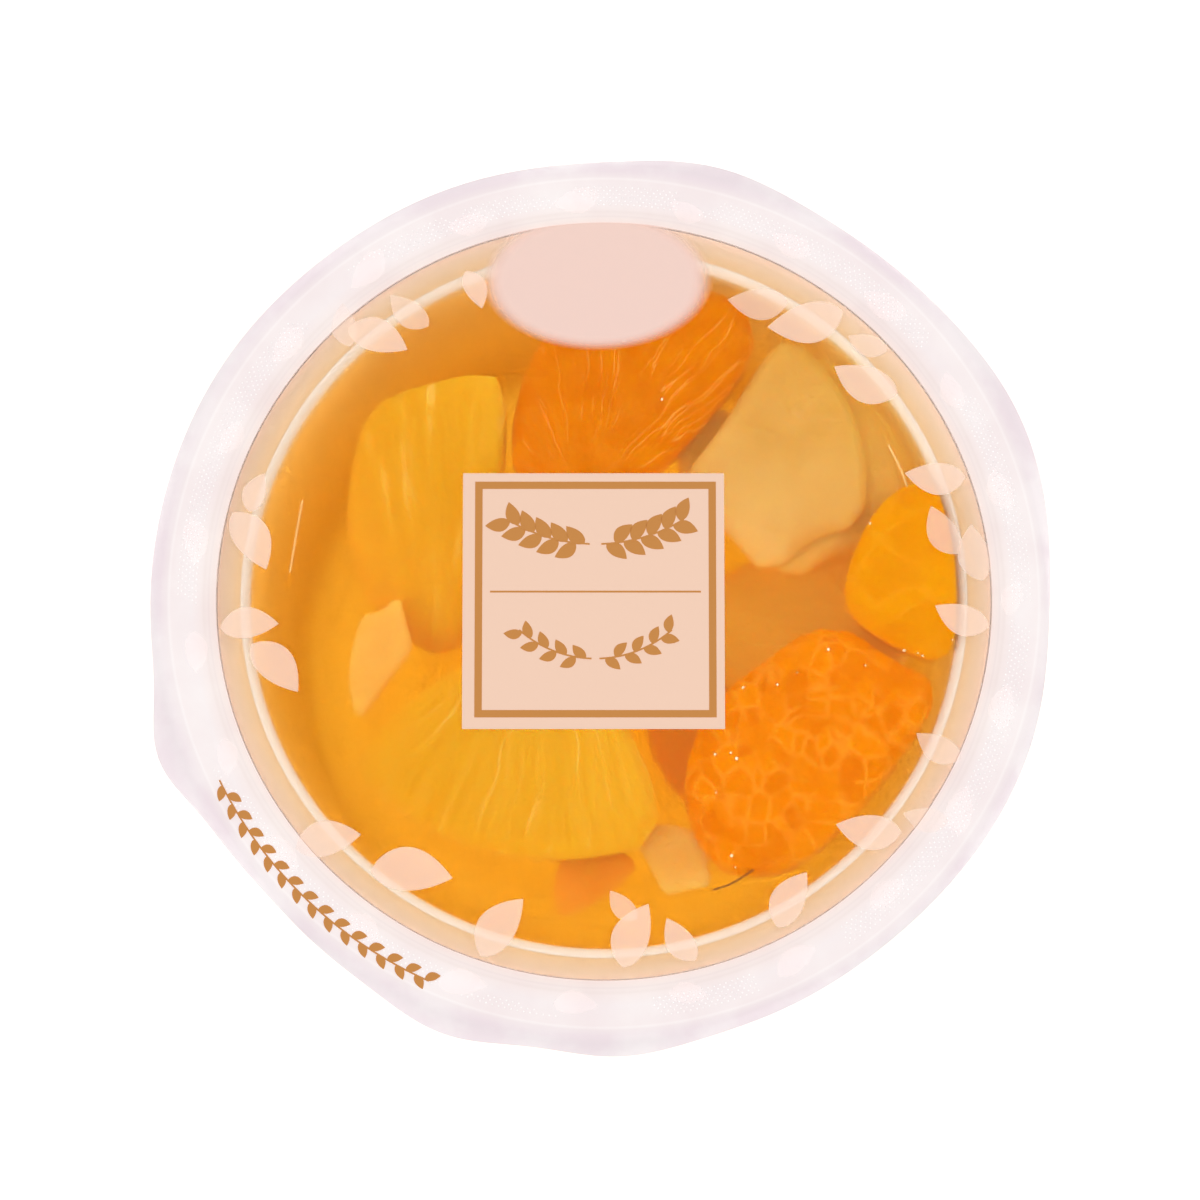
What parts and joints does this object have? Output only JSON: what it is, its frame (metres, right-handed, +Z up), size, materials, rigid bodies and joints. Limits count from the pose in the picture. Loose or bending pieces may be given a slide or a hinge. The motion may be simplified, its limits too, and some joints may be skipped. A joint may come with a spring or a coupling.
{
  "type": "sealed cup of fruit jelly",
  "caption": "Round clear cup filled to the brim with soft jelly and fruit pieces, shut by a printed film lid sealed to its flange and drooping past it.",
  "frame": {"origin": "on the cup's axis at the level of its foot, which is the middle of the bounding box's bottom", "axes": "+Z up out of the cup, through the lid film; +Y towards the top of the lid's print, +X to the print's right"},
  "size_m": [0.106, 0.1082, 0.0566],
  "materials": {
    "clear_plastic": "clear moulded polypropylene, slightly hazy",
    "film": "thin clear lid film with a pale pink frosted seal band and printed leaves, frame and panel",
    "jelly": "clear orange-gold soft jelly, wet",
    "mandarin": "peeled citrus segment, wet, juice sacs and pale veins",
    "pear": "smooth cooked fruit flesh, translucent",
    "pineapple": "cut fruit flesh with radial fibres, translucent"
  },
  "bodies": {
    "root": {"cup": "clear_plastic", "lid_film": "film", "jelly": "jelly", "mandarin_top": "mandarin", "mandarin_right": "mandarin", "mandarin_bottom": "mandarin", "pear_right": "pear", "pineapple_left": "pineapple", "pineapple_bottom": "pineapple"}
  },
  "joints": []
}
